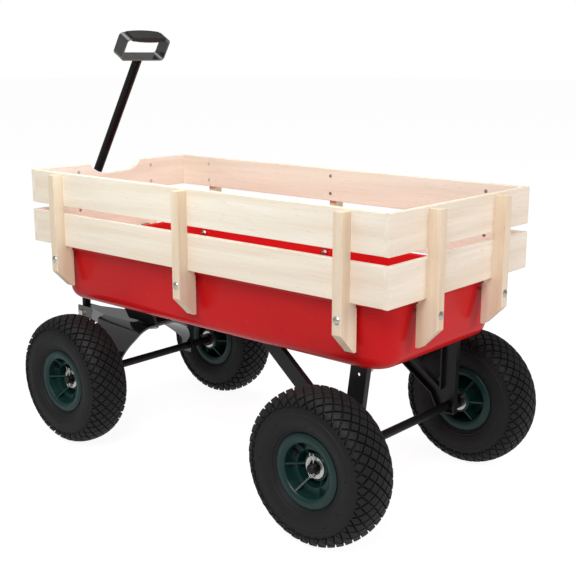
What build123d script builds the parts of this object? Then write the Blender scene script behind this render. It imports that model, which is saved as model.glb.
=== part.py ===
"""Child's pull wagon: pressed steel tub, wooden stake sides, steered front axle, four pneumatic wheels.

Millimetres. +X is forward (the handle's end), +Y is the wagon's left, +Z is up.
Sketches are laid out from the middle of the wooden sides; each finished piece is then moved by SHIFT_X,
so that the origin ends on the ground under the middle of the overall length.
"""
import os
from math import cos, radians, sin, tan

from build123d import *

os.makedirs("parts", exist_ok=True)

# ---- driving dimensions ----
# wheels: a 10 inch 4.10/3.50-4 pneumatic tyre on a 5/8 inch axle
TYRE_R = 132
TYRE_HALF_W = 43
AXLE_R = 8
RUN_FIT = 0.05            # radial clearance of turning fits
SIDE_PLAY = 0.3           # gap between faces that turn past each other
AXLE_X = 333              # both axles stand this far from the middle
FRONT_TRACK = 213         # tyre centre plane to the wagon's centre plane
REAR_TRACK = 232

# rim, measured outwards from the tyre's centre plane
FLANGE_R = 63
FLANGE_T = 35
LIP_T = 4.5               # thickness of the flange's rounded lip
BARREL_R = 50.8
WELL_R = 46.5
HUB_R = 23
HUB_OUT = 7
HUB_IN = -42
RIB_COUNT = 6
RIB_STEP = radians(360 / RIB_COUNT)
VALVE_R = 4
VALVE_L = 30
BEARING_R = 17.5
BEARING_W = 11
WASHER_R = 19
WASHER_T = 2.5
COLLAR_R = 14
COLLAR_W = 8
CLIP_WIRE_R = 1.3
CLIP_CLEAR = 3            # from the washer to the middle of the clip's hole

# tub
SHEET = 1.4
FLOOR_Z = 284
BEAD_Z = 400
BEAD_R = 4.5
BEAD_X = 427.5            # centre line of the rolled rim
BEAD_Y = 190
BEAD_CORNER = 65
WALL_SLOPE = 7
FLOOR_FILLET = 26

# wooden sides
PANEL_X = 448             # outer faces of the end boards
PANEL_Y = 210.5           # outer faces of the side boards
BOARD_T = 10
BOARD_H = 66
LOWER_Z = 405             # bottom edge of each row of boards
UPPER_Z = 485.5
SCALLOP_TOP = 70
SCALLOP_FLAT = 25
SCALLOP_DEPTH = 22
STAKE_W = 18
STAKE_PROUD = 22
STAKE_TOP = 548
STAKE_TIP = 322
STAKE_INNER = 18          # the stake's foot reaches this far inside the panel's outer face
STAKE_NOSE = 6            # flat left at the foot under the bevel
BEAD_SLOT = 15.5          # depth of the notch that clears the tub's rolled rim
BEAD_GAP = 6              # the notch starts this far under the roll's centre line
SIDE_STAKES = {"front": 354, "middle": -3, "rear": -366}
END_STAKES = {"left": 100, "right": -100}
STAKE_BOLT_Z = 380
STAKE_BOLT_R = 3
STAKE_BOLT_L = 58
STAKE_BOLT_HEAD_R = 7
DOME = 0.5                # height of a domed head over its radius
EASE = 0.8                # eased edges of the wood
SCREW_R = 1.75
SCREW_HEAD_R = 3.5
SCREW_L = 24
SCREW_STEP = 18           # screws above and below each board's middle

# front gear
PLATE = 4                 # thickness of the pressed steel plates
STEER_Z = 209             # top of the steering bracket
DISC_T = 5.7
DISC_R = 30
KINGPIN_R = 8
BOLSTER_Z = STEER_Z + SIDE_PLAY + DISC_T
BOLSTER_HALF_X = 45
BOLSTER_HALF_Y = 28       # half width of its foot
BOLSTER_TOP_Y = 60        # half width where it meets the floor
BOLSTER_FLANGE_Y = 96
BRACKET_HALF_Y = 32
ARCH_HALF_Y = 104
ARCH_SHOULDER_Y = 77      # the arch's outer face passes this far out, ARCH_SHOULDER_DROP under the top
ARCH_SHOULDER_DROP = 20
SADDLE_HALF_X = 30
ARCH_FOOT_HALF = 14
TONGUE_X = 460            # where the tongue starts
TONGUE_TIP = 580
TONGUE_HALF_Y = 13.5
TONGUE_NECK = 35          # the tongue is parallel from here, behind the pivot, to its tip
TONGUE_SHEET = 3.5
TONGUE_DEPTH = 28

# handle
PIVOT_X = 565
PIVOT_Z = 192
PIVOT_R = 4
TUBE_R = 9.5
TUBE_WALL = 1.5
TUBE_BELOW = 11           # the tube ends this far under the pivot
BEND_Z = 425
BEND_R = 60
LEAN = 31.5               # lean of the upper tube, back from vertical
LOOP_Z = 774              # underside of the grip loop, on the tube's axis
LOOP_W = 116
LOOP_H = 50
LOOP_D = 28
LOOP_CORNER = 9
STRIP_T = 3

# rear brackets
REAR_FOOT_Y = 157
REAR_SPLAY = 5.5
LEG_HALF = 17
LEG_SET_BACK = 11
BRACE_REACH = 190
CHANNEL_D = 12
CHANNEL_T = 3
STRAP_IN = 102

BRACE_HALF = 22
REAR_FOOT = 14            # the foot reaches this far under the axle

M8_R = 4
M8_FLATS = 6.5            # half the width across the flats of its nut
STUD_L = 16
FLOOR_STUDS = [(300, 80), (366, 80), (-350, 118), (-150, 118)]

SHIFT_X = (PANEL_X + STAKE_PROUD + DOME * STAKE_BOLT_HEAD_R - TONGUE_TIP) / 2
SIDES = {"left": 1, "right": -1}
ENDS = {"front": 1, "rear": -1}


def save(builder, name):
    """Move a finished piece to the shared origin, label it and write it."""
    piece = builder.part.moved(Location((SHIFT_X, 0, 0)))
    piece.label = name
    export_step(piece, f"parts/{name}.step")


def inner_face(outward, distance):
    """Plane square to `outward` at `distance`, seen from inside the wagon, with its y axis up."""
    ox, oy = outward
    return Plane(origin=(ox * distance, oy * distance, 0), x_dir=(oy, -ox, 0), z_dir=(-ox, -oy, 0))


def axial(origin, direction, side):
    """Plane for a profile turned about `direction`: x is the radius, y runs along the axis."""
    return Plane(origin=origin, x_dir=side, z_dir=Vector(*side).cross(Vector(*direction)))


def wall_at(z):
    """How far the tub's sloping outer wall has drawn in from the bead's centre line at height z."""
    return BEAD_R - SHEET + (BEAD_Z - z) * tan(radians(WALL_SLOPE))


def stake_places():
    """Every stake: its name, outward direction, distance of the panel face, place along the panel."""
    for side, s in SIDES.items():
        for where, x in SIDE_STAKES.items():
            yield f"stake_{side}_{where}", (0, s), PANEL_Y, x * s
    for end, e in ENDS.items():
        for where, y in END_STAKES.items():
            yield f"stake_{end}_{where}", (e, 0), PANEL_X, -y * e


# ---- tub ----
with BuildPart() as cavity:
    with BuildSketch(Plane.XY.offset(BEAD_Z)):
        RectangleRounded(2 * (BEAD_X - BEAD_R), 2 * (BEAD_Y - BEAD_R), BEAD_CORNER - BEAD_R)
    extrude(amount=-(BEAD_Z - FLOOR_Z - SHEET), taper=WALL_SLOPE)
    fillet(cavity.edges().group_by(Axis.Z)[0], radius=FLOOR_FILLET)

with BuildPart() as tub:
    with BuildSketch(Plane.XY.offset(BEAD_Z)):
        inset = BEAD_R - SHEET
        RectangleRounded(2 * (BEAD_X - inset), 2 * (BEAD_Y - inset), BEAD_CORNER - inset)
    extrude(amount=-(BEAD_Z - FLOOR_Z), taper=WALL_SLOPE)
    fillet(tub.edges().group_by(Axis.Z)[0], radius=FLOOR_FILLET + SHEET)
    add(cavity.part, mode=Mode.SUBTRACT)
    # the rim is rolled outwards, and the roll is left open underneath
    with BuildLine(Plane.XY.offset(BEAD_Z)) as rim_line:
        FilletPolyline((BEAD_X, -BEAD_Y), (BEAD_X, BEAD_Y), (-BEAD_X, BEAD_Y), (-BEAD_X, -BEAD_Y),
                       radius=BEAD_CORNER, close=True)
    with BuildSketch(Plane(origin=(0, -BEAD_Y, BEAD_Z), x_dir=(0, -1, 0), z_dir=(1, 0, 0))):
        Circle(BEAD_R)
        Circle(BEAD_R - SHEET, mode=Mode.SUBTRACT)
        with Locations((-BEAD_R / 2, BEAD_R / 2)):
            Rectangle(BEAD_R / 3, BEAD_R, mode=Mode.SUBTRACT)
    sweep(path=rim_line.line)
    for _, outward, distance, along in stake_places():
        with BuildSketch(inner_face(outward, distance)):
            with Locations((along, STAKE_BOLT_Z)):
                Circle(STAKE_BOLT_R + 0.1)
        extrude(amount=60, mode=Mode.SUBTRACT)
save(tub, "tub")


# ---- boards ----
def board(name, outward, distance, length, bottom, stakes, scallop=False):
    """One horizontal board, screwed to its stakes from the inside."""
    plane = inner_face(outward, distance - BOARD_T)
    middle = bottom + BOARD_H / 2
    top = bottom + BOARD_H
    with BuildPart(plane) as piece:
        with BuildSketch(plane):
            with Locations((0, middle)):
                Rectangle(length, BOARD_H)
            if scallop:
                low = top - SCALLOP_DEPTH
                with BuildLine():
                    Line((-SCALLOP_FLAT, low), (SCALLOP_FLAT, low))
                    TangentArc((SCALLOP_FLAT, low), (SCALLOP_TOP, top), tangent=(1, 0))
                    TangentArc((-SCALLOP_FLAT, low), (-SCALLOP_TOP, top), tangent=(-1, 0))
                    Line((-SCALLOP_TOP, top), (SCALLOP_TOP, top))
                make_face(mode=Mode.SUBTRACT)
        extrude(amount=-BOARD_T)
        chamfer(piece.edges().filter_by(Axis((0, 0, 0), plane.x_dir)), length=EASE)
        with Locations(*[(x, middle + step) for x in stakes for step in (-SCREW_STEP, SCREW_STEP)]):
            CounterSinkHole(SCREW_R, SCREW_HEAD_R, depth=BOARD_T, counter_sink_angle=82)
    save(piece, name)


for row, bottom in {"lower": LOWER_Z, "upper": UPPER_Z}.items():
    for side, s in SIDES.items():
        board(f"board_{side}_{row}", (0, s), PANEL_Y, 2 * (PANEL_X - BOARD_T), bottom,
              [x * s for x in SIDE_STAKES.values()])
    for end, e in ENDS.items():
        cut = end == "front" and row == "upper"
        board(f"board_{end}_{row}", (e, 0), PANEL_X, 2 * PANEL_Y, bottom, [-y * e for y in END_STAKES.values()], cut)

# ---- stakes ----
SCREW_ROWS = [z + BOARD_H / 2 + step for z in (LOWER_Z, UPPER_Z) for step in (-SCREW_STEP, SCREW_STEP)]
BEVEL_Z = STAKE_TIP + STAKE_PROUD + STAKE_INNER - STAKE_NOSE

for name, outward, distance, along in stake_places():
    face = inner_face(outward, distance)
    side_view = Plane(origin=face.from_local_coords((along, 0, 0)), x_dir=(*outward, 0),
                      z_dir=(outward[1], -outward[0], 0))
    with BuildPart() as stake:
        with BuildSketch(side_view):
            Polygon((0, STAKE_TOP), (STAKE_PROUD, STAKE_TOP), (STAKE_PROUD, BEVEL_Z),
                    (STAKE_NOSE - STAKE_INNER, STAKE_TIP), (-STAKE_INNER, STAKE_TIP),
                    (-STAKE_INNER, BEAD_Z - BEAD_GAP), (-BEAD_SLOT, BEAD_Z - BEAD_GAP), (-BEAD_SLOT, LOWER_Z),
                    (0, LOWER_Z), align=None)
        extrude(amount=STAKE_W / 2, both=True)
        chamfer(stake.edges().filter_by(Axis.Z).group_by(SortBy.LENGTH)[-1], length=EASE)
        with BuildSketch(face):
            with Locations((along, STAKE_BOLT_Z)):
                Circle(STAKE_BOLT_R + 0.1)
        extrude(amount=STAKE_PROUD + STAKE_INNER, both=True, mode=Mode.SUBTRACT)
        with BuildSketch(face):
            with Locations(*[(along, z) for z in SCREW_ROWS]):
                Circle(SCREW_R)
        extrude(amount=-(SCREW_L - BOARD_T), mode=Mode.SUBTRACT)
    save(stake, name)


# ---- fasteners of the sides ----
def carriage_bolts(name, seats, radius, head, length):
    """Mushroom-headed bolts. Each seat is the point under the head, the way the head faces, and a side."""
    with BuildPart() as group:
        for seat, facing, side in seats:
            with BuildSketch(axial(seat, facing, side)):
                with BuildLine():
                    Polyline((head, 0), (radius, 0), (radius, -length), (0, -length), (0, head * DOME))
                    TangentArc((0, head * DOME), (head, 0), tangent=(1, 0))
                make_face()
            revolve(axis=Axis(seat, facing))
    save(group, name)


def on_panel(outward, distance, along, z):
    """The point at height z, `along` the panel, on the plane `distance` from the middle."""
    return inner_face(outward, distance).from_local_coords((along, z, 0))


carriage_bolts("stake_bolts", [(on_panel(outward, distance + STAKE_PROUD, along, STAKE_BOLT_Z), (*outward, 0),
                                (0, 0, 1)) for _, outward, distance, along in stake_places()],
               STAKE_BOLT_R, STAKE_BOLT_HEAD_R, STAKE_BOLT_L)

with BuildPart() as stake_nuts:
    for _, outward, distance, along in stake_places():
        bead = BEAD_Y if outward[0] == 0 else BEAD_X
        seat = bead - wall_at(STAKE_BOLT_Z) - 2 * SHEET - 1.3
        with BuildSketch(inner_face(outward, seat)):
            with Locations((along, STAKE_BOLT_Z)):
                RegularPolygon(5, 6, major_radius=False)
                Circle(STAKE_BOLT_R, mode=Mode.SUBTRACT)
        extrude(amount=5)
        with BuildSketch(inner_face(outward, seat)):
            with Locations((along, STAKE_BOLT_Z)):
                Circle(8)
                Circle(STAKE_BOLT_R, mode=Mode.SUBTRACT)
        extrude(amount=-1.2)
save(stake_nuts, "stake_nuts")

with BuildPart() as board_screws:
    for _, outward, distance, along in stake_places():
        for z in SCREW_ROWS:
            inward = (-outward[0], -outward[1], 0)
            head = on_panel(outward, distance - BOARD_T, along, z)
            with BuildSketch(axial(head, inward, (0, 0, 1))):
                taper = SCREW_HEAD_R - SCREW_R
                Polygon((0, 0), (SCREW_HEAD_R, 0), (SCREW_R, -taper * 1.15), (SCREW_R, 4 - SCREW_L),
                        (0, -SCREW_L), align=None)
            revolve(axis=Axis(head, inward))
save(board_screws, "board_screws")


# ---- rear brackets and axle ----
for side, s in SIDES.items():
    slope = radians(REAR_SPLAY)
    web = Plane(origin=(-AXLE_X, s * REAR_FOOT_Y, TYRE_R), x_dir=(1, 0, 0),
                z_dir=(0, -cos(slope), -s * sin(slope)))
    leg_top = (FLOOR_Z - TYRE_R) / cos(slope)
    with BuildPart() as rear_bracket:
        with BuildSketch(web) as outline:
            Polygon((-LEG_HALF, -REAR_FOOT), (LEG_HALF, -REAR_FOOT), (LEG_HALF - LEG_SET_BACK, leg_top),
                    (-LEG_HALF - LEG_SET_BACK, leg_top), align=None)
            Polygon((-8, 20), (2 * BRACE_HALF - 8, 20), (BRACE_REACH + BRACE_HALF, leg_top),
                    (BRACE_REACH - BRACE_HALF, leg_top), align=None)
            Polygon((0, -REAR_FOOT), (LEG_HALF + 4, -REAR_FOOT), (2 * BRACE_HALF - 8, 20), (0, 20), align=None)
        extrude(amount=s * CHANNEL_D)
        with BuildSketch(web.offset(s * CHANNEL_T)):
            add(outline.sketch_local)
            offset(amount=-CHANNEL_T, kind=Kind.INTERSECTION, mode=Mode.REPLACE)
        extrude(amount=s * CHANNEL_D, mode=Mode.SUBTRACT)
        # flat strap under the floor
        strap_out = REAR_FOOT_Y - (FLOOR_Z - TYRE_R) * tan(slope) - 1
        with BuildSketch(Plane.XY.offset(FLOOR_Z - PLATE)):
            with Locations(((BRACE_REACH - LEG_SET_BACK) / 2 - AXLE_X, s * (STRAP_IN + strap_out) / 2)):
                Rectangle(BRACE_REACH + 2 * BRACE_HALF + LEG_SET_BACK, strap_out - STRAP_IN)
        extrude(amount=PLATE)
        with BuildSketch(Plane.XY.offset(FLOOR_Z)):
            with Locations(*[(x, s * y) for x, y in FLOOR_STUDS if x < 0]):
                Circle(M8_R + 0.1)
        extrude(amount=-PLATE, mode=Mode.SUBTRACT)
        # the axle passes straight through the foot, with a small drain hole near the top
        with BuildSketch(Plane.XZ):
            with Locations((-AXLE_X, TYRE_R)):
                Circle(AXLE_R)
            with Locations((-AXLE_X - LEG_SET_BACK, FLOOR_Z - 17)):
                Circle(3)
        extrude(amount=-s * 2 * REAR_FOOT_Y, mode=Mode.SUBTRACT)
    save(rear_bracket, f"rear_bracket_{side}")


def axle(name, x, track):
    """Round axle with a welded collar inboard of each wheel and a clip hole at each end."""
    end = track + HUB_OUT + 15
    collar = track + HUB_IN - 2 * SIDE_PLAY - WASHER_T
    clip = track + HUB_OUT + 2 * SIDE_PLAY + WASHER_T + CLIP_CLEAR
    with BuildPart() as piece:
        with BuildSketch(Plane.XZ.offset(-end)):
            with Locations((x, TYRE_R)):
                Circle(AXLE_R)
        extrude(amount=2 * end)
        chamfer(piece.edges().filter_by(GeomType.CIRCLE), length=1.5)
        for s in (1, -1):
            with BuildSketch(Plane.XZ.offset(-s * collar)):
                with Locations((x, TYRE_R)):
                    Circle(COLLAR_R)
            extrude(amount=s * COLLAR_W)
        with BuildSketch(Plane.XY.offset(TYRE_R)):
            with Locations((x, clip), (x, -clip)):
                Circle(CLIP_WIRE_R + 0.2)
        extrude(amount=AXLE_R + 1, both=True, mode=Mode.SUBTRACT)
    save(piece, name)


def washers(name, x, track):
    """Flat washers on both sides of both wheels."""
    with BuildPart() as group:
        for s in (1, -1):
            for start in (track + HUB_OUT + SIDE_PLAY, track + HUB_IN - SIDE_PLAY - WASHER_T):
                with BuildSketch(Plane.XZ.offset(-s * start)):
                    with Locations((x, TYRE_R)):
                        Circle(WASHER_R)
                        Circle(AXLE_R, mode=Mode.SUBTRACT)
                extrude(amount=-s * WASHER_T)
    save(group, name)


def clips(name, x, track):
    """R-clips: one leg runs through the axle, the other hugs it outside."""
    clip = track + HUB_OUT + 2 * SIDE_PLAY + WASHER_T + CLIP_CLEAR
    with BuildPart() as group:
        for s in (1, -1):
            plane = Plane(origin=(x, s * clip, TYRE_R), x_dir=(0, 0, 1), z_dir=(0, s, 0))
            with BuildLine(plane) as wire:
                FilletPolyline((24, 0), (-13, 0), (-20, 5), (-12, AXLE_R + 2), (3, AXLE_R + 2), (12, 5),
                               (24, 8), radius=3)
            with BuildSketch(wire.line ^ 0):
                Circle(CLIP_WIRE_R)
            sweep(path=wire.line)
    save(group, name)


for end, e in ENDS.items():
    track = FRONT_TRACK if e > 0 else REAR_TRACK
    axle(f"{end}_axle", e * AXLE_X, track)
    washers(f"{end}_washers", e * AXLE_X, track)
    clips(f"{end}_clips", e * AXLE_X, track)

# ---- front bolster, fixed under the floor ----
with BuildPart() as front_bolster:
    with BuildSketch(Plane.YZ.offset(AXLE_X - BOLSTER_HALF_X)):
        with BuildLine():
            Polyline((-BOLSTER_FLANGE_Y, FLOOR_Z - PLATE), (-BOLSTER_TOP_Y, FLOOR_Z - PLATE),
                     (-BOLSTER_HALF_Y, BOLSTER_Z), (BOLSTER_HALF_Y, BOLSTER_Z),
                     (BOLSTER_TOP_Y, FLOOR_Z - PLATE), (BOLSTER_FLANGE_Y, FLOOR_Z - PLATE),
                     (BOLSTER_FLANGE_Y, FLOOR_Z), (BOLSTER_TOP_Y - PLATE, FLOOR_Z),
                     (BOLSTER_HALF_Y - PLATE, BOLSTER_Z + PLATE), (PLATE - BOLSTER_HALF_Y, BOLSTER_Z + PLATE),
                     (PLATE - BOLSTER_TOP_Y, FLOOR_Z), (-BOLSTER_FLANGE_Y, FLOOR_Z), close=True)
        make_face()
    extrude(amount=2 * BOLSTER_HALF_X)
    with BuildSketch(Plane.XY.offset(FLOOR_Z)):
        with Locations((AXLE_X, 0)):
            Circle(KINGPIN_R)
        with Locations(*[(x, s * y) for x, y in FLOOR_STUDS if x > 0 for s in (1, -1)]):
            Circle(M8_R + 0.1)
    extrude(amount=BOLSTER_Z - FLOOR_Z, mode=Mode.SUBTRACT)
save(front_bolster, "front_bolster")

with BuildPart() as bearing_disc:
    with BuildSketch(Plane.XY.offset(BOLSTER_Z)):
        with Locations((AXLE_X, 0)):
            Circle(DISC_R)
            Circle(KINGPIN_R, mode=Mode.SUBTRACT)
    extrude(amount=-DISC_T)
save(bearing_disc, "bearing_disc")

with BuildPart() as kingpin_bolt:
    head_top = STEER_Z - PLATE - SIDE_PLAY
    with BuildSketch(Plane.XY.offset(head_top)):
        with Locations((AXLE_X, 0)):
            RegularPolygon(12, 6, major_radius=False)
    extrude(amount=-10)
    with BuildSketch(Plane.XY.offset(head_top)):
        with Locations((AXLE_X, 0)):
            Circle(KINGPIN_R)
    extrude(amount=BOLSTER_Z + PLATE + 18 - head_top)
save(kingpin_bolt, "kingpin_bolt")

with BuildPart() as kingpin_nut:
    with BuildSketch(Plane.XY.offset(BOLSTER_Z + PLATE)):
        with Locations((AXLE_X, 0)):
            RegularPolygon(12, 6, major_radius=False)
            Circle(KINGPIN_R, mode=Mode.SUBTRACT)
    extrude(amount=13)
save(kingpin_nut, "kingpin_nut")

# studs welded to the underside of the floor, so that the bed is smooth
with BuildPart() as floor_studs:
    with BuildSketch(Plane.XY.offset(FLOOR_Z)):
        with Locations(*[(x, s * y) for x, y in FLOOR_STUDS for s in (1, -1)]):
            Circle(M8_R)
    extrude(amount=-STUD_L)
    chamfer(floor_studs.edges().group_by(Axis.Z)[0], length=0.8)
save(floor_studs, "floor_studs")

with BuildPart() as floor_nuts:
    with BuildSketch(Plane.XY.offset(FLOOR_Z - PLATE)):
        with Locations(*[(x, s * y) for x, y in FLOOR_STUDS for s in (1, -1)]):
            RegularPolygon(M8_FLATS, 6, major_radius=False)
            Circle(M8_R, mode=Mode.SUBTRACT)
    extrude(amount=-6.5)
save(floor_nuts, "floor_nuts")

# ---- steering bracket: an arched saddle on the axle, with a tongue for the handle ----
with BuildPart() as steering_bracket:
    under = STEER_Z - PLATE
    foot_z = TYRE_R - 13
    knee = TYRE_R + 10
    inner_y = ARCH_HALF_Y - PLATE
    with BuildSketch(Plane.YZ.offset(AXLE_X - SADDLE_HALF_X)):
        for s in (1, -1):
            with BuildLine():
                Line((0, STEER_Z), (s * BRACKET_HALF_Y, STEER_Z))
                ThreePointArc((s * BRACKET_HALF_Y, STEER_Z),
                              (s * ARCH_SHOULDER_Y, STEER_Z - ARCH_SHOULDER_DROP), (s * ARCH_HALF_Y, knee))
                Polyline((s * ARCH_HALF_Y, knee), (s * ARCH_HALF_Y, foot_z), (s * inner_y, foot_z),
                         (s * inner_y, knee))
                ThreePointArc((s * inner_y, knee),
                              (s * (ARCH_SHOULDER_Y - 2.5), under - ARCH_SHOULDER_DROP + 0.5),
                              (s * BRACKET_HALF_Y, under))
                Polyline((s * BRACKET_HALF_Y, under), (0, under), (0, STEER_Z))
            make_face()
    extrude(amount=TONGUE_X - AXLE_X + SADDLE_HALF_X)
    # side view of the saddle: wide under the bolster, narrow at the axle
    with BuildSketch(Plane.XZ):
        Polygon((AXLE_X - SADDLE_HALF_X, STEER_Z), (TONGUE_X, STEER_Z), (TONGUE_X, under),
                (TONGUE_X - 38, STEER_Z - 18), (AXLE_X + ARCH_FOOT_HALF, knee + 8),
                (AXLE_X + ARCH_FOOT_HALF, foot_z), (AXLE_X - ARCH_FOOT_HALF, foot_z),
                (AXLE_X - ARCH_FOOT_HALF, knee + 8), (AXLE_X - SADDLE_HALF_X, STEER_Z - 22), align=None)
    extrude(amount=2 * ARCH_HALF_Y, both=True, mode=Mode.INTERSECT)
    # tongue: an inverted channel that narrows to the handle's pivot
    neck_x = PIVOT_X - TONGUE_NECK
    with BuildSketch(Plane.XY.offset(STEER_Z)):
        Polygon((TONGUE_X - 20, BRACKET_HALF_Y), (TONGUE_X, BRACKET_HALF_Y), (neck_x, TONGUE_HALF_Y),
                (TONGUE_TIP, TONGUE_HALF_Y), (TONGUE_TIP, -TONGUE_HALF_Y), (neck_x, -TONGUE_HALF_Y),
                (TONGUE_X, -BRACKET_HALF_Y), (TONGUE_X - 20, -BRACKET_HALF_Y), align=None)
    extrude(amount=-TONGUE_DEPTH)
    inside = TONGUE_HALF_Y - TONGUE_SHEET
    shoulder = BRACKET_HALF_Y - TONGUE_SHEET
    with BuildSketch(Plane.XY.offset(under)):
        Polygon((TONGUE_X - 20, shoulder), (TONGUE_X, shoulder), (neck_x, inside),
                (TONGUE_TIP, inside), (TONGUE_TIP, -inside), (neck_x, -inside),
                (TONGUE_X, -shoulder), (TONGUE_X - 20, -shoulder), align=None)
    extrude(amount=-TONGUE_DEPTH, mode=Mode.SUBTRACT)
    # the top is notched for the tube, and the notch's end is the handle's back stop
    notch = PIVOT_X - TUBE_R - 0.4
    with BuildSketch(Plane.XY.offset(under)):
        with Locations(((notch + TONGUE_TIP) / 2, 0)):
            Rectangle(TONGUE_TIP - notch, 2 * inside)
    extrude(amount=PLATE, mode=Mode.SUBTRACT)
    with BuildSketch(Plane.XZ):
        with Locations((PIVOT_X, PIVOT_Z)):
            Circle(PIVOT_R)
    extrude(amount=TONGUE_TIP, both=True, mode=Mode.SUBTRACT)
    with BuildSketch(Plane.XZ):
        with Locations((AXLE_X, TYRE_R)):
            Circle(AXLE_R)
    extrude(amount=2 * ARCH_HALF_Y, both=True, mode=Mode.SUBTRACT)
    with BuildSketch(Plane.XY.offset(STEER_Z)):
        with Locations((AXLE_X, 0)):
            Circle(KINGPIN_R + RUN_FIT)
    extrude(amount=-PLATE, mode=Mode.SUBTRACT)
save(steering_bracket, "steering_bracket")

with BuildPart() as handle_pivot_bolt:
    with BuildSketch(Plane.XZ.offset(-TONGUE_HALF_Y)):
        with Locations((PIVOT_X, PIVOT_Z)):
            RegularPolygon(M8_FLATS, 6, major_radius=False)
    extrude(amount=-5.5)
    with BuildSketch(Plane.XZ.offset(-TONGUE_HALF_Y)):
        with Locations((PIVOT_X, PIVOT_Z)):
            Circle(PIVOT_R)
    extrude(amount=2 * TONGUE_HALF_Y + 11)
save(handle_pivot_bolt, "handle_pivot_bolt")

with BuildPart() as handle_pivot_nut:
    with BuildSketch(Plane.XZ.offset(TONGUE_HALF_Y)):
        with Locations((PIVOT_X, PIVOT_Z)):
            RegularPolygon(M8_FLATS, 6, major_radius=False)
            Circle(PIVOT_R, mode=Mode.SUBTRACT)
    extrude(amount=8)
save(handle_pivot_nut, "handle_pivot_nut")

# ---- handle ----
LOOP_X = PIVOT_X - (LOOP_Z - BEND_Z) * tan(radians(LEAN))
with BuildPart() as handle_tube:
    with BuildLine(Plane.XZ) as centre_line:
        FilletPolyline((PIVOT_X, PIVOT_Z - TUBE_BELOW), (PIVOT_X, BEND_Z), (LOOP_X, LOOP_Z), radius=BEND_R)
    with BuildSketch(Plane.XY.offset(PIVOT_Z - TUBE_BELOW)):
        with Locations((PIVOT_X, 0)):
            Circle(TUBE_R)
            Circle(TUBE_R - TUBE_WALL, mode=Mode.SUBTRACT)
    sweep(path=centre_line.line)
    with BuildSketch(Plane.XZ):
        with Locations((PIVOT_X, PIVOT_Z)):
            Circle(PIVOT_R + RUN_FIT)
    extrude(amount=TUBE_R + 1, both=True, mode=Mode.SUBTRACT)
save(handle_tube, "handle_tube")

lean = radians(LEAN)
LOOP_PLANE = Plane(origin=(LOOP_X, 0, LOOP_Z), x_dir=(0, 1, 0), z_dir=(cos(lean), 0, sin(lean)))
with BuildPart() as handle_loop:
    with BuildSketch(LOOP_PLANE):
        with Locations((0, LOOP_H / 2)):
            RectangleRounded(LOOP_W, LOOP_H, LOOP_CORNER)
            RectangleRounded(LOOP_W - 2 * STRIP_T, LOOP_H - 2 * STRIP_T, LOOP_CORNER - STRIP_T,
                             mode=Mode.SUBTRACT)
    extrude(amount=LOOP_D / 2, both=True)
    # the strip's two ends meet in a slanting seam above the tube
    seam = Plane(origin=LOOP_PLANE.from_local_coords((4, STRIP_T, 0)), x_dir=(0, 1, 0), z_dir=LOOP_PLANE.y_dir)
    with BuildSketch(seam):
        Rectangle(1, LOOP_D * 1.4, rotation=32)
    extrude(amount=-1, mode=Mode.SUBTRACT)
save(handle_loop, "handle_loop")

with BuildPart() as handle_grip:
    bar = LOOP_PLANE.from_local_coords((0, LOOP_H - STRIP_T / 2, 0))
    for station, width, height in ((-43, 31, 8.5), (0, 34, 12), (43, 31, 8.5)):
        with BuildSketch(Plane(origin=bar + Vector(0, station, 0), x_dir=LOOP_PLANE.z_dir, z_dir=(0, 1, 0))):
            RectangleRounded(width, height, 4)
    loft()
    with BuildSketch(Plane(origin=bar, x_dir=LOOP_PLANE.z_dir, z_dir=(0, 1, 0))):
        Rectangle(LOOP_D, STRIP_T)
    extrude(amount=LOOP_W, both=True, mode=Mode.SUBTRACT)
save(handle_grip, "handle_grip")


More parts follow.
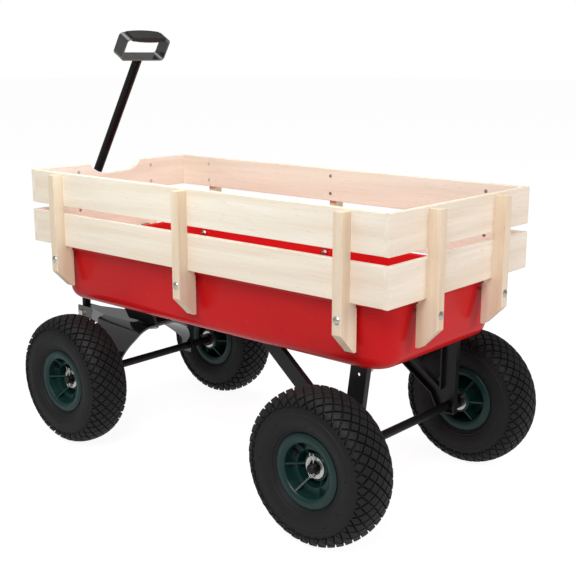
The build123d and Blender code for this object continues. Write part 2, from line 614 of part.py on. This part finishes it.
# ---- wheels ----
def wheel(name, x, y, outboard):
    """Tyre, inner tube, rim and bearings, round an axle along Y. `outboard` is +1 or -1."""
    centre = (x, y, TYRE_R)
    spin = Axis(centre, (0, 1, 0))
    section = axial(centre, (0, outboard, 0), (1, 0, 0))
    shoulder = (TYRE_R - 7, 33)
    wall_end = (TYRE_R - 13.5, 38.5)
    seat_t = FLANGE_T - LIP_T                       # the bead's outer face rests on the rim's flange here
    rubber_r = FLANGE_R + 0.5
    with BuildPart() as tyre:
        with BuildSketch(section):
            for t in (1, -1):
                with BuildLine():
                    Polyline((TYRE_R - 9, 0), (TYRE_R, 0))
                    ThreePointArc((TYRE_R, 0), (TYRE_R - 1.7, t * 16.5), (shoulder[0], t * shoulder[1]))
                    Line((shoulder[0], t * shoulder[1]), (wall_end[0], t * wall_end[1]))
                    ThreePointArc((wall_end[0], t * wall_end[1]), (92, t * TYRE_HALF_W), (rubber_r, t * seat_t))
                    Polyline((rubber_r, t * seat_t), (BARREL_R, t * seat_t), (BARREL_R, t * 17), (60, t * 23))
                    ThreePointArc((60, t * 23), (87, t * 36), (112, t * 30))
                    ThreePointArc((112, t * 30), (120.2, t * 15.5), (TYRE_R - 9, 0))
                make_face()
        revolve(axis=spin)
    save(tyre, f"tyre_{name}")

    tube_r = 86.5
    valve_foot = (57, 4)
    valve_way = (-cos(radians(40)), sin(radians(40)))
    with BuildPart() as inner_tube:
        with BuildSketch(section):
            with Locations((tube_r, 0)):
                Ellipse(33.5, 33)
        revolve(axis=spin)
        beside = axial(centre, (0, outboard, 0), (cos(RIB_STEP / 2), 0, sin(RIB_STEP / 2)))
        stem = Plane(origin=beside.from_local_coords((*valve_foot, 0)),
                     x_dir=beside.z_dir, z_dir=beside.from_local_coords((*valve_way, 0)) - beside.origin)
        with BuildSketch(stem):
            Circle(VALVE_R)
        extrude(amount=VALVE_L)
        with BuildSketch(section):
            with Locations((tube_r, 0)):
                Ellipse(31, 30.5)
        revolve(axis=spin, mode=Mode.SUBTRACT)
        with BuildSketch(stem.offset(-8)):
            Circle(1.5)
        extrude(amount=40, mode=Mode.SUBTRACT)
    save(inner_tube, f"inner_tube_{name}")

    disc_t, groove_t, web = 16, -2, 5
    with BuildPart() as rim:
        with BuildSketch(section):
            with BuildLine():
                Polyline((AXLE_R + 4, HUB_OUT - BEARING_W), (BEARING_R, HUB_OUT - BEARING_W),
                         (BEARING_R, HUB_OUT), (HUB_R, HUB_OUT), (HUB_R + 0.5, groove_t), (31.5, groove_t),
                         (32, disc_t), (WELL_R - 0.7, disc_t), (WELL_R, FLANGE_T - 4),
                         (WELL_R + 1.5, FLANGE_T - 2.5))
                ThreePointArc((WELL_R + 1.5, FLANGE_T - 2.5), (56, FLANGE_T), (FLANGE_R, FLANGE_T - 2.5))
                Polyline((FLANGE_R, FLANGE_T - 2.5), (FLANGE_R, seat_t), (BARREL_R, seat_t),
                         (BARREL_R, -seat_t), (FLANGE_R, -seat_t), (FLANGE_R, 2.5 - FLANGE_T))
                ThreePointArc((FLANGE_R, 2.5 - FLANGE_T), (56, -FLANGE_T), (WELL_R + 1.5, 2.5 - FLANGE_T))
                Polyline((WELL_R + 1.5, 2.5 - FLANGE_T), (WELL_R, 4 - FLANGE_T), (WELL_R - 1, disc_t - web),
                         (32 + web, disc_t - web), (31.5 + web, groove_t - web), (HUB_R, groove_t - web),
                         (HUB_R, HUB_IN), (BEARING_R, HUB_IN), (BEARING_R, HUB_IN + BEARING_W),
                         (AXLE_R + 4, HUB_IN + BEARING_W), (AXLE_R + 4, HUB_OUT - BEARING_W))
            make_face()
        revolve(axis=spin)
        for k in range(RIB_COUNT):
            spoke = (cos(k * RIB_STEP), 0, sin(k * RIB_STEP))
            with BuildSketch(axial(centre, (0, outboard, 0), spoke)):
                Polygon((HUB_R - 1, HUB_OUT - 1), (WELL_R + 1, FLANGE_T - 4), (WELL_R + 1, disc_t - 1),
                        (HUB_R - 1, groove_t - 1), align=None)
                Polygon((HUB_R - 1, HUB_IN + 2), (WELL_R + 1, 8 - FLANGE_T), (WELL_R + 1, disc_t - 1),
                        (HUB_R - 1, groove_t - 1), align=None)
            extrude(amount=1.6, both=True)
        with BuildSketch(stem):
            Circle(VALVE_R + 0.2)
        extrude(amount=VALVE_L, mode=Mode.SUBTRACT)
    save(rim, f"rim_{name}")

    with BuildPart() as bearings:
        for start in (HUB_OUT - BEARING_W, HUB_IN):
            with BuildSketch(section):
                with BuildLine():
                    Polyline((AXLE_R + RUN_FIT, start), (AXLE_R + RUN_FIT, start + BEARING_W),
                             (10.5, start + BEARING_W), (10.5, start + BEARING_W - 1),
                             (15, start + BEARING_W - 1), (15, start + BEARING_W),
                             (BEARING_R, start + BEARING_W), (BEARING_R, start), (15, start), (15, start + 1),
                             (10.5, start + 1), (10.5, start), close=True)
                make_face()
            revolve(axis=spin)
    save(bearings, f"bearings_{name}")


for end, e in ENDS.items():
    track = FRONT_TRACK if e > 0 else REAR_TRACK
    for side, s in SIDES.items():
        wheel(f"{end}_{side}", e * AXLE_X, s * track, s)
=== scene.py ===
"""Looks of the kids pull wagon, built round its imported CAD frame.

Helper geometry is given in millimetres in local axes and turned into metres when a piece is finished.
"""
import random
from math import cos, hypot, pi, radians, sin

import bmesh
import bpy
from mathutils import Matrix, Vector


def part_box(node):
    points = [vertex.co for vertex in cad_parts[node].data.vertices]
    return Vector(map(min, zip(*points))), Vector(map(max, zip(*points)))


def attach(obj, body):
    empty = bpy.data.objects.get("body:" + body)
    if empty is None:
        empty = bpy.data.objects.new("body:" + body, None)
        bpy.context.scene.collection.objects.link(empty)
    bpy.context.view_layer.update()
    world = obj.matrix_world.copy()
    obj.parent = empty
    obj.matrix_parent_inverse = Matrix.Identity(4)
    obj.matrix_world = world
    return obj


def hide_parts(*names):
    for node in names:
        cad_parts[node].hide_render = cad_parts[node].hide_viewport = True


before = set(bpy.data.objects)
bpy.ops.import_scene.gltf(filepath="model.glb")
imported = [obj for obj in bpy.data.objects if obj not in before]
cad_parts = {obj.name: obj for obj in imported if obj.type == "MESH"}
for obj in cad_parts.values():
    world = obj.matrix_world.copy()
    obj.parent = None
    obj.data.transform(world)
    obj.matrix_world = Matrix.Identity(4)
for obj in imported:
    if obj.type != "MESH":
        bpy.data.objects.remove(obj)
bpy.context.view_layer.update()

MM = 0.001
SIDES = {"left": 1, "right": -1}        # the sign of Y on each side
CORNERS = {f"{end}_{side}": sign for end in ("front", "rear") for side, sign in SIDES.items()}


# ---------------------------------------------------------------- materials
WHITE = (1, 1, 1, 1)


def linear(r, g, b):
    """sRGB bytes to the linear colour that shader sockets take."""
    def one(c):
        c /= 255
        return c / 12.92 if c <= 0.04045 else ((c + 0.055) / 1.055) ** 2.4
    return one(r), one(g), one(b), 1.0


class Shader:
    """A material under construction: its nodes, and its Principled BSDF.

    Sockets are named with an underscore for each space: Base_Color is the socket "Base Color".
    """

    def __init__(self, name, **sockets):
        self.material = bpy.data.materials.new(name)
        self.material.use_nodes = True
        self.nodes = self.material.node_tree.nodes
        self.links = self.material.node_tree.links
        self.bsdf = self.nodes["Principled BSDF"]
        for socket, value in sockets.items():
            self.bsdf.inputs[socket.replace("_", " ")].default_value = value

    def node(self, kind, inputs=None, **settings):
        """Adds a node. Its inputs are values, or the sockets to link to them."""
        made = self.nodes.new(kind)
        for key, value in settings.items():
            setattr(made, key, value)
        for key, value in (inputs or {}).items():
            if isinstance(value, bpy.types.NodeSocket):
                self.links.new(value, made.inputs[key])
            else:
                made.inputs[key].default_value = value
        return made

    def place(self, scale=(1, 1, 1), offset=(0, 0, 0)):
        """Coordinates in the object's own frame, stretched and moved."""
        coords = self.node("ShaderNodeTexCoord")
        return self.node("ShaderNodeMapping", {"Vector": coords.outputs["Object"], "Location": offset,
                                               "Scale": scale}).outputs["Vector"]

    def noise(self, where, scale, detail=3.0, rough=0.55, distortion=0.0):
        return self.node("ShaderNodeTexNoise", {"Vector": where, "Scale": scale, "Detail": detail,
                                                "Roughness": rough, "Distortion": distortion}).outputs["Fac"]

    def remap(self, value, low, high, to_low=0.0, to_high=1.0):
        return self.node("ShaderNodeMapRange", {"Value": value, "From Min": low, "From Max": high,
                                                "To Min": to_low, "To Max": to_high}).outputs["Result"]

    def maths(self, operation, a, b):
        return self.node("ShaderNodeMath", {0: a, 1: b}, operation=operation).outputs[0]

    def mix(self, factor, a, b, blend="MIX"):
        """A colour mixed of `a` and `b`; each of the three may be a value or a socket."""
        made = self.node("ShaderNodeMix", data_type="RGBA", blend_type=blend)
        for socket, value in ((made.inputs["Factor"], factor), (made.inputs[6], a), (made.inputs[7], b)):
            if isinstance(value, bpy.types.NodeSocket):
                self.links.new(value, socket)
            else:
                socket.default_value = value
        return made.outputs[2]

    def bump(self, height, strength, distance):
        """A normal that follows `height`, a relief `distance` metres deep."""
        return self.node("ShaderNodeBump", {"Height": height, "Strength": strength,
                                            "Distance": distance}).outputs["Normal"]

    def done(self, **sockets):
        """Links the finished sockets and hands over the material."""
        for socket, value in sockets.items():
            self.links.new(value, self.bsdf.inputs[socket.replace("_", " ")])
        return self.material


def wood(name, grain, pale, dark, seed):
    """Bare sanded softwood whose fibres run along axis `grain` (0, 1 or 2)."""
    rng = random.Random(seed)
    shader = Shader(name, IOR=1.45)
    offset = tuple(rng.uniform(-9, 9) for _ in range(3))        # no two boards are cut from the same place

    def stretched(along, across):
        return shader.place(tuple(along if axis == grain else across for axis in range(3)), offset)

    # broad warm patches, growth rings, fine fibres, longer streaks and a few dark pores
    figure = shader.noise(stretched(1.1, 11), 1.0, 2.0, 0.5, 0.6)
    rings = shader.node("ShaderNodeTexWave", {"Vector": stretched(0.9, 13), "Scale": 1.1, "Distortion": 7.0,
                                              "Detail": 2.0, "Detail Scale": 0.7}, wave_type="BANDS",
                        bands_direction="DIAGONAL").outputs["Fac"]
    fibre = shader.noise(stretched(14, 420), 1.0, 4.0, 0.6)
    streak = shader.noise(stretched(5, 120), 1.0, 3.0, 0.6)
    fleck = shader.remap(shader.noise(stretched(60, 700), 1.0, 1.0, 0.4), 0.68, 0.8)
    darkness = shader.maths("ADD", shader.maths("MULTIPLY", shader.remap(rings, 0.25, 1.0), 0.30),
                            shader.maths("MULTIPLY", shader.remap(streak, 0.35, 0.75), 0.35))
    darkness = shader.maths("ADD", darkness,
                            shader.maths("MULTIPLY", shader.remap(fibre, 0.4, 0.75), 0.22))
    colour = shader.mix(darkness, pale, dark)
    tint = shader.mix(shader.remap(figure, 0.35, 0.7), WHITE, (0.97, 0.90, 0.82, 1))
    colour = shader.mix(1.0, colour, tint, "MULTIPLY")
    pore = (0.42, 0.27, 0.15, 1)
    colour = shader.mix(shader.maths("MULTIPLY", fleck, 0.35), colour, pore)
    height = shader.maths("ADD", shader.maths("MULTIPLY", fibre, 0.7), shader.maths("MULTIPLY", streak, 0.3))
    return shader.done(Base_Color=colour, Roughness=shader.remap(fibre, 0.3, 0.8, 0.48, 0.72),
                       Normal=shader.bump(height, 0.35, 0.0004))


def red_paint():
    """Gloss enamel over pressed sheet: a little orange peel and a few dull scuffs."""
    shader = Shader("red_enamel", Specular_IOR_Level=0.15)
    where = shader.place()
    drift = shader.noise(where, 5.0, 2.0)
    peel = shader.noise(where, 420.0, 2.0)
    scuff = shader.remap(shader.noise(shader.place((30, 30, 160)), 1.0, 3.0), 0.66, 0.78)
    colour = shader.mix(shader.remap(drift, 0.3, 0.7), linear(207, 25, 29), linear(195, 20, 24))
    rough = shader.maths("ADD", shader.remap(drift, 0.3, 0.7, 0.20, 0.27),
                         shader.maths("MULTIPLY", scuff, 0.12))
    return shader.done(Base_Color=colour, Roughness=rough, Normal=shader.bump(peel, 0.12, 0.0002))


def black_coat(name, colour, rough, shine=0.26, depth=0.00008, **coat):
    """Black coat on steel: a fine pebbled skin `depth` metres deep, slightly uneven gloss."""
    shader = Shader(name, Specular_IOR_Level=shine, **coat)
    where = shader.place()
    pebble = shader.noise(where, 900.0, 2.0)
    drift = shader.noise(where, 22.0, 3.0)
    shade = shader.mix(shader.remap(drift, 0.3, 0.75), colour, tuple(c * 1.7 for c in colour[:3]) + (1,))
    return shader.done(Base_Color=shade, Roughness=shader.remap(drift, 0.3, 0.7, rough - 0.05, rough + 0.08),
                       Normal=shader.bump(pebble, 0.5, depth))


def zinc(name, colour, rough):
    """Bare or zinc-plated steel with cloudy passivation."""
    shader = Shader(name, Metallic=1.0)
    where = shader.place()
    cloud = shader.noise(where, 160.0, 4.0)
    warm = tuple(c * k for c, k in zip(colour[:3], (1.0, 0.93, 0.80))) + (1,)
    shade = shader.mix(shader.remap(cloud, 0.4, 0.75, 0.0, 0.6), colour, warm)
    return shader.done(Base_Color=shade, Roughness=shader.remap(cloud, 0.3, 0.7, rough - 0.06, rough + 0.10),
                       Normal=shader.bump(shader.noise(where, 1400.0, 2.0), 0.25, 0.00004))


def tyre_rubber():
    """Dark rubber, dull, with a trace of dust and mould release bloom."""
    shader = Shader("tyre_rubber", Specular_IOR_Level=0.32)
    where = shader.place()
    bloom = shader.noise(where, 13.0, 4.0)
    fine = shader.noise(where, 700.0, 3.0)
    colour = shader.mix(shader.remap(bloom, 0.35, 0.7), linear(15, 15, 16), linear(23, 23, 25))
    colour = shader.mix(shader.remap(fine, 0.55, 0.8, 0.0, 0.2), colour, linear(46, 45, 44))
    return shader.done(Base_Color=colour, Roughness=shader.remap(bloom, 0.3, 0.7, 0.55, 0.7),
                       Normal=shader.bump(fine, 0.3, 0.0002))


def moulded(name, colour, rough, texture=1100.0):
    """Moulded plastic: even colour, faint flow marks and a fine spark texture."""
    shader = Shader(name, Specular_IOR_Level=0.35)
    where = shader.place()
    flow = shader.noise(where, 24.0, 3.0, 0.5, 1.2)
    spark = shader.noise(where, texture, 2.0)
    darker = tuple(c * 0.82 for c in colour[:3]) + (1,)
    return shader.done(Base_Color=shader.mix(shader.remap(flow, 0.3, 0.7), colour, darker),
                       Roughness=shader.remap(flow, 0.3, 0.7, rough - 0.04, rough + 0.08),
                       Normal=shader.bump(spark, 0.3, 0.00006))


# each washer is painted black round the axle out to this radius: painted shade about the axle's end
PAINTED_SHADE_RADIUS, PAINTED_SHADE_EDGE = 0.0122, 0.0005


def washer(name, centre):
    """Zinc washer with painted shade: a black ring round the axle, where shadow falls about the axle's end.
    `centre` is on the axle's line.
    """
    shader = Shader(name)
    where = shader.place(offset=(-centre[0], 0, -centre[2]), scale=(1, 0, 1))
    radius = shader.node("ShaderNodeVectorMath", {0: where}, operation="LENGTH").outputs["Value"]
    # plated is 0 inside the ring of painted shade, which is black and not metallic, and 1 where the zinc
    # shows
    plated = shader.remap(radius, PAINTED_SHADE_RADIUS, PAINTED_SHADE_RADIUS + PAINTED_SHADE_EDGE)
    cloud = shader.noise(shader.place(), 160.0, 4.0)
    shade = shader.mix(shader.remap(cloud, 0.4, 0.75, 0.0, 0.5), linear(206, 208, 203), linear(176, 172, 158))
    return shader.done(Base_Color=shader.mix(plated, linear(12, 12, 12), shade), Metallic=plated,
                       Roughness=shader.remap(cloud, 0.3, 0.7, 0.2, 0.36))


PALE, WARM = linear(243, 233, 221), linear(225, 206, 186)
STAKE_PALE, STAKE_WARM = linear(234, 217, 197), linear(214, 184, 152)
RED = red_paint()
BLACK = black_coat("black_powder_coat", linear(22, 22, 23), 0.34, 0.32)
HANDLE_BLACK = black_coat("black_handle_coat", linear(9, 9, 10), 0.36, 0.2)
GLOSS_BLACK = black_coat("black_gloss_coat", linear(15, 15, 16), 0.14, 0.9, depth=0.00002,
                         Coat_Weight=0.7, Coat_Roughness=0.06, Coat_IOR=1.5)
LOOP_BLACK = black_coat("black_loop_coat", linear(19, 19, 20), 0.2, 0.7, depth=0.00003,
                        Coat_Weight=1.0, Coat_Roughness=0.1, Coat_IOR=1.8)
AXLE_BLACK = black_coat("black_axle_paint", linear(11, 11, 12), 0.42)
ZINC = zinc("zinc_plate", linear(205, 206, 200), 0.30)
BRIGHT = zinc("zinc_bright", linear(196, 198, 194), 0.26)
RUBBER = tyre_rubber()
GREEN = moulded("green_rim_plastic", linear(17, 50, 47), 0.36)
GRIP = moulded("grip_vinyl", linear(36, 32, 30), 0.5, 500.0)
DARK_PLASTIC = moulded("dark_nylon", linear(30, 30, 31), 0.5)
STEEL = zinc("ground_steel", linear(150, 150, 150), 0.3)


def dress(node, material):
    """Gives a CAD node its material."""
    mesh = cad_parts[node].data
    mesh.materials.clear()
    mesh.materials.append(material)


FASTENERS = ("board_screws", "stake_bolts", "stake_nuts", "floor_studs", "floor_nuts", "kingpin_bolt",
             "kingpin_nut", "handle_pivot_bolt", "handle_pivot_nut")
for seed, node in enumerate(sorted(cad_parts)):
    if node in FASTENERS:
        dress(node, ZINC)
    elif node.startswith("board_"):
        along = 0 if "left" in node or "right" in node else 1
        dress(node, wood(f"wood_{node}", along, PALE, WARM, seed))
    elif node.startswith("stake_"):
        dress(node, wood(f"wood_{node}", 2, STAKE_PALE, STAKE_WARM, seed))
for corner in CORNERS:
    dress(f"bearings_{corner}", STEEL)
    dress(f"rim_{corner}", GREEN)
    dress(f"inner_tube_{corner}", RUBBER)
    dress(f"tyre_{corner}", RUBBER)
for node, material in {
        "tub": RED,
        "steering_bracket": GLOSS_BLACK,
        "front_bolster": BLACK,
        "rear_bracket_left": BLACK,
        "rear_bracket_right": BLACK,
        "front_axle": AXLE_BLACK,
        "rear_axle": AXLE_BLACK,
        "front_clips": BRIGHT,
        "rear_clips": BRIGHT,
        "handle_tube": HANDLE_BLACK,
        "handle_loop": LOOP_BLACK,
        "handle_grip": GRIP,
        "bearing_disc": DARK_PLASTIC}.items():
    dress(node, material)
for end in ("front", "rear"):
    low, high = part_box(f"{end}_washers")
    dress(f"{end}_washers", washer(f"{end}_washer_zinc", (Vector(low) + Vector(high)) / 2))


# ---------------------------------------------------------------- building pieces
CREASE = radians(32)        # edges turned more than this are sharp


def finish(name, bm, placement, material, body, replaced):
    """Turns a millimetre bmesh into a placed piece with smooth faces and sharp creases."""
    bmesh.ops.recalc_face_normals(bm, faces=bm.faces[:])
    for face in bm.faces:
        face.smooth = True
    for edge in bm.edges:
        edge.smooth = len(edge.link_faces) == 2 and edge.calc_face_angle(0) < CREASE
    bm.transform(placement @ Matrix.Scale(MM, 4))
    mesh = bpy.data.meshes.new(name)
    bm.to_mesh(mesh)
    bm.free()
    mesh.materials.append(material)
    piece = bpy.data.objects.new(name, mesh)
    bpy.context.scene.collection.objects.link(piece)
    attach(piece, body)
    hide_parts(replaced)


def join(bm, low, high):
    """Faces between two closed rings of as many points."""
    for i in range(len(low)):
        j = (i + 1) % len(low)
        bm.faces.new((low[i], low[j], high[j], high[i]))


def revolve(bm, profile, steps):
    """Turns a closed (t, r) outline round the local Y axis."""
    rings = []
    for k in range(steps):
        turn = 2 * pi * k / steps
        rings.append([bm.verts.new((r * cos(turn), t, r * sin(turn))) for t, r in profile])
    for ring, following in zip(rings, rings[1:] + rings[:1]):
        join(bm, ring, following)


def spline(points, pieces):
    """A smooth line through `points` (Catmull-Rom), each span cut into `pieces`."""
    padded = [points[0], *points, points[-1]]
    line = []
    for a, b, c, d in zip(padded, padded[1:], padded[2:], padded[3:]):
        for k in range(pieces):
            s = k / pieces
            line.append(tuple(0.5 * (2 * q + (r - p) * s + (2 * p - 5 * q + 4 * r - u) * s * s
                                     + (3 * q - p - 3 * r + u) * s ** 3) for p, q, r, u in zip(a, b, c, d)))
    return line + [points[-1]]


# ---------------------------------------------------------------- tyres
# all in millimetres; t runs along the axle and r out from it
CELLS = 40              # diamonds round the tyre
ROW = 9.8               # from one row of diamonds to the next, across the tread
GROOVE = 2.5
BLOCK_H = 4.2
TREAD_EDGE = 47.0       # half width of the tread, along the carcass
TREAD_R = 128.0         # where the diamonds' width round the tyre is measured
LEAST_BLOCK = 5.5       # a diamond that would start nearer to the edge is left out
SHOULDER, SHOULDER_W = 30, 15       # beyond this distance the blocks shrink, and over what width
CARCASS_STEPS = 120
# raised rings on the sidewall: distance from the crown, or below 0 from the bead; half width; height
RINGS = ((57.0, 1.1, 0.7), (-7.5, 1.6, 1.0), (-13.5, 0.9, 0.5))
FINE_FROM = 52          # beyond this distance the skin is cut finely, to carry the rings
BEAD = [(30.4, 62.8), (30.4, 52.0), (28.0, 50.9), (19, 50.9), (17.5, 53.5), (24, 61), (31, 72), (35, 84),
        (33.5, 99), (27, 112), (13.5, 120.5)]       # the foot of the tyre and its inside
INSIDE_CROWN = (0, 123.0)
STUBS, STUB_SIDES, STUB_R, STUB_H = 9, 8, 0.9, 1.6
STUB_PLACES = (64, 69, 76)
HALF_CARCASS = [(0, 127.8), (8, 127.5), (16, 126.3), (24, 123.9), (31, 120.3), (36.6, 114.2), (39.8, 106.4),
                (41.6, 99), (42.4, 91.5), (41.6, 83.5), (39, 76), (35.6, 70), (32.6, 65.8), (31.2, 64)]


class Carcass:
    """The tyre's outer skin, addressed by the distance along it from the crown."""

    def __init__(self):
        self.line = spline(HALF_CARCASS, 6)
        self.marks = [0.0]
        for (t0, r0), (t1, r1) in zip(self.line, self.line[1:]):
            self.marks.append(self.marks[-1] + hypot(t1 - t0, r1 - r0))

    def at(self, distance, lift=0.0):
        """(t, r) on the skin, or `lift` above it."""
        side = 1 if distance >= 0 else -1
        distance = min(abs(distance), self.marks[-1] - 1e-6)
        i = max(k for k, mark in enumerate(self.marks[:-1]) if mark <= distance)
        (t0, r0), (t1, r1) = self.line[i], self.line[i + 1]
        span = self.marks[i + 1] - self.marks[i]
        s = (distance - self.marks[i]) / span
        nt, nr = (r0 - r1) / span, (t1 - t0) / span
        return side * (t0 + (t1 - t0) * s + nt * lift), r0 + (r1 - r0) * s + nr * lift


def clip(polygon, limit):
    """Cuts a (u, v) polygon to |v| <= limit."""
    for sign in (1, -1):
        kept = []
        for (u0, v0), (u1, v1) in zip(polygon, polygon[1:] + polygon[:1]):
            inside0, inside1 = sign * v0 <= limit, sign * v1 <= limit
            if inside0:
                kept.append((u0, v0))
            if inside0 != inside1:
                s = (sign * limit - v0) / (v1 - v0)
                kept.append((u0 + (u1 - u0) * s, sign * limit))
        polygon = kept
    return polygon


def tread_block(bm, carcass, polygon, centre):
    """One rubber diamond: drafted sides, a small chamfer and a top that follows the crown."""
    outer = max(0.0, abs(centre[1]) - SHOULDER) / SHOULDER_W
    height, narrow = BLOCK_H - 0.7 * outer, 1 - 0.12 * outer

    def ring(grow, lift):
        made = []
        for u, v in polygon:
            u, v = centre[0] + (u - centre[0]) * grow * narrow, centre[1] + (v - centre[1]) * grow
            t, r = carcass.at(v, lift)
            made.append(bm.verts.new((r * cos(u), t, r * sin(u))))
        return made

    rings = [ring(1.10, -0.8), ring(1.0, height - 0.7), ring(0.90, height), ring(0.45, height)]
    for low, high in zip(rings, rings[1:]):
        join(bm, low, high)
    bm.faces.new(rings[-1])


def halved(polygon):
    """The polygon with a point added in the middle of each edge."""
    made = []
    for (u0, v0), (u1, v1) in zip(polygon, polygon[1:] + polygon[:1]):
        made += [(u0, v0), ((u0 + u1) / 2, (v0 + v1) / 2)]
    return made


def stub(bm, carcass, turn, distance):
    """A small moulded vent stub on the sidewall."""
    t, r = carcass.at(distance)
    base = Vector((r * cos(turn), t, r * sin(turn)))
    top_t, top_r = carcass.at(distance, STUB_H)
    out = (Vector((top_r * cos(turn), top_t, top_r * sin(turn))) - base).normalized()
    side = out.orthogonal().normalized()
    other = out.cross(side)
    rings = []
    for reach, lift in ((STUB_R * 1.3, -0.3), (STUB_R, STUB_H * 0.6), (STUB_R * 0.6, STUB_H)):
        rings.append([bm.verts.new(base + out * lift + (side * cos(a) + other * sin(a)) * reach)
                      for a in (2 * pi * k / STUB_SIDES for k in range(STUB_SIDES))])
    for low, high in zip(rings, rings[1:]):
        join(bm, low, high)
    bm.faces.new(rings[-1])


def skin(carcass):
    """The (t, r) outline of the whole tyre without its tread, with raised rings on both sidewalls."""
    half = []
    total = carcass.marks[-1]
    distance = 0.0
    while distance < total:
        lift = 0.0
        for ring_at, width, height in RINGS:
            centre = ring_at if ring_at > 0 else total + ring_at
            lift = max(lift, height * max(0.0, 1 - (abs(distance - centre) / width) ** 2))
        half.append(carcass.at(distance, lift))
        distance += 0.75 if distance > FINE_FROM else 3.0
    outline = half + [carcass.line[-1]] + BEAD
    return outline + [INSIDE_CROWN] + [(-t, r) for t, r in reversed(outline[1:])]


def tread(bm, carcass):
    """Rows of diamond blocks over the crown and shoulders, cut off at the tread's edges."""
    step = 2 * pi / CELLS
    half_step = step / 2
    edge = hypot(half_step * TREAD_R, ROW)
    across = 2 * half_step * TREAD_R * ROW / edge       # between a diamond's opposite sides
    shrink = (across - GROOVE) / across
    rows = int(TREAD_EDGE / ROW) + 1
    for row in range(-rows, rows + 1):
        for k in range(CELLS):
            cu, cv = (k + 0.5 * (row % 2)) * step, row * ROW
            diamond = [(cu + du * half_step * shrink, cv + dv * ROW * shrink)
                       for du, dv in ((1, 0), (0, 1), (-1, 0), (0, -1))]
            cut = clip(halved(diamond), TREAD_EDGE)
            if len(cut) < 3 or abs(cv) - ROW * shrink > TREAD_EDGE - LEAST_BLOCK:
                continue
            middle = (sum(u for u, _ in cut) / len(cut), sum(v for _, v in cut) / len(cut))
            tread_block(bm, carcass, cut, middle)


def tyre(corner, placement, seed):
    """Knobby pneumatic tyre: ringed carcass, diamond blocks and vent stubs."""
    rng = random.Random(seed)
    carcass = Carcass()
    bm = bmesh.new()
    revolve(bm, skin(carcass), CARCASS_STEPS)
    tread(bm, carcass)
    for k in range(STUBS):
        for side in (1, -1):
            turn = 2 * pi * (k + rng.uniform(-0.25, 0.25)) / STUBS
            stub(bm, carcass, turn, side * rng.choice(STUB_PLACES))
    finish(f"tread_tyre_{corner}", bm, placement, RUBBER, f"wheel_{corner}", f"tyre_{corner}")


def wheel_place(corner, side):
    """Local Y runs outboard along the axle, from the tyre's centre plane."""
    low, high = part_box(f"tyre_{corner}")
    centre = (Vector(low) + Vector(high)) / 2
    turn = Matrix.Rotation(0 if side > 0 else pi, 4, "Z")
    return Matrix.Translation(centre) @ turn


WHEEL_TURN = radians(37)        # each wheel came to rest at another angle
for seed, (corner, side) in enumerate(CORNERS.items()):
    turned = Matrix.Rotation(seed * WHEEL_TURN, 4, "Y")
    tyre(corner, wheel_place(corner, side) @ turned, seed)


# ---------------------------------------------------------------- floor, light, camera
def floor():
    """A lit white table with only a trace of shadow. It looks brighter than the light it sends up."""
    bm = bmesh.new()
    bmesh.ops.create_grid(bm, x_segments=2, y_segments=2, size=30)
    mesh = bpy.data.meshes.new("studio_floor")
    bm.to_mesh(mesh)
    bm.free()
    shader = Shader("studio_floor", Roughness=0.9, Base_Color=(0.18, 0.18, 0.18, 1), Specular_IOR_Level=0.0,
                    Emission_Color=WHITE)
    seen = shader.node("ShaderNodeLightPath").outputs["Is Camera Ray"]
    glow = shader.remap(seen, 0.0, 1.0, 0.55, 0.93)
    mesh.materials.append(shader.done(Emission_Strength=glow))
    piece = bpy.data.objects.new("studio_floor", mesh)
    bpy.context.scene.collection.objects.link(piece)


def area_light(name, place, target, size, power, colour=(1, 1, 1)):
    """A round soft light, `size` metres across."""
    data = bpy.data.lights.new(name, "AREA")
    data.shape, data.size, data.energy, data.color = "DISK", size, power, colour
    lamp = bpy.data.objects.new(name, data)
    lamp.location = place
    lamp.rotation_euler = (Vector(target) - Vector(place)).to_track_quat("-Z", "Y").to_euler()
    bpy.context.scene.collection.objects.link(lamp)
    return lamp


floor()
WAGON_MIDDLE = (0, 0, 0.3)
area_light("key", (-1.5, 2.7, 3.0), WAGON_MIDDLE, size=2.0, power=84)
area_light("top", (0.3, 0.3, 3.6), WAGON_MIDDLE, size=3.0, power=40)
rear_fill = area_light("rear_fill", (-3.4, -0.6, 1.7), WAGON_MIDDLE, size=2.0, power=43)
rear_fill.visible_glossy = False
# a small cool card over the bed opens up the insides of the boards, against the tub's red glow
bed_fill = area_light("bed_fill", (0, 0.3, 1.05), (0, -0.21, 0.5), size=0.7, power=3.5,
                      colour=(0.74, 1.0, 0.98))
bed_fill.visible_camera = bed_fill.visible_glossy = False

world = bpy.data.worlds.new("studio")
bpy.context.scene.world = world
world.use_nodes = True
background = world.node_tree.nodes["Background"]
background.inputs["Color"].default_value = WHITE
# seen directly the backdrop is white, but as light it is softer
path = world.node_tree.nodes.new("ShaderNodeLightPath")
strength = world.node_tree.nodes.new("ShaderNodeMapRange")
strength.inputs["To Min"].default_value = 0.30
strength.inputs["To Max"].default_value = 1.0
world.node_tree.links.new(path.outputs["Is Camera Ray"], strength.inputs["Value"])
world.node_tree.links.new(strength.outputs["Result"], background.inputs["Strength"])
bpy.context.scene.view_settings.view_transform = "Standard"

lens = bpy.data.cameras.new("camera")
lens.sensor_width = 36
lens.lens = 62.5
camera = bpy.data.objects.new("camera", lens)
camera.location = (-1.34465, 1.3976, 0.7764)
aim = Vector((0.14215, -0.2943, 0.2538)) - camera.location
camera.rotation_euler = aim.to_track_quat("-Z", "Y").to_euler()
bpy.context.scene.collection.objects.link(camera)
bpy.context.scene.camera = camera
